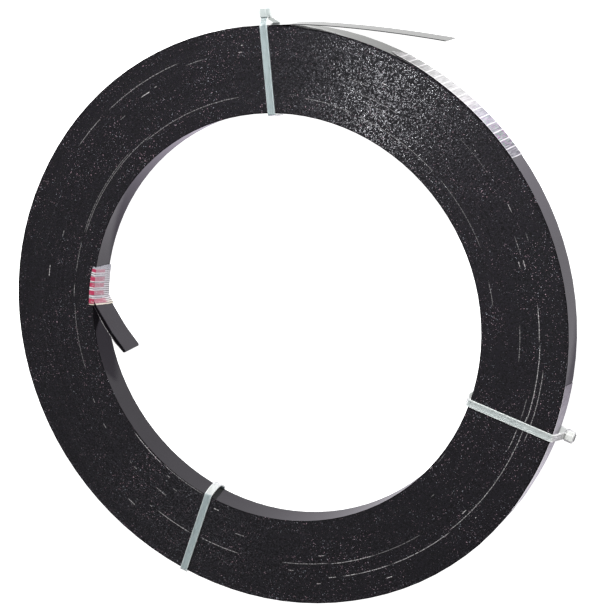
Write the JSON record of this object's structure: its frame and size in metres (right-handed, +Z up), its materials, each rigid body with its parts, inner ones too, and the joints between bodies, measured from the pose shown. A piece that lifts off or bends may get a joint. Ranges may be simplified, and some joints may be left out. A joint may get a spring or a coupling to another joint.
{
  "type": "steel strapping coil",
  "caption": "Flat roll of black lacquered steel strap, one strap wide, with a round bore, a free tail, a folded inner end, and cable ties and tapes holding its turns.",
  "frame": {"origin": "on the roll's axis, at the level of the floor that the roll lies on", "axes": "+Z up along the roll's axis; +Y towards the top tie, where the tail leaves the rim; +X the way the tail points"},
  "size_m": [0.5792, 0.5929, 0.036],
  "materials": {
    "black_lacquered_steel": "satin black lacquer",
    "white_nylon": "translucent white",
    "printed_label_film": null,
    "clear_film": "clear film with a silvery sheen"
  },
  "bodies": {
    "root": {"steel_strap": "black_lacquered_steel", "cable_tie_top": "white_nylon", "cable_tie_right": "white_nylon", "cable_tie_bottom": "white_nylon", "inner_label_tape": "printed_label_film", "outer_tape_upper": "clear_film", "outer_tape_right": "clear_film"}
  },
  "joints": []
}
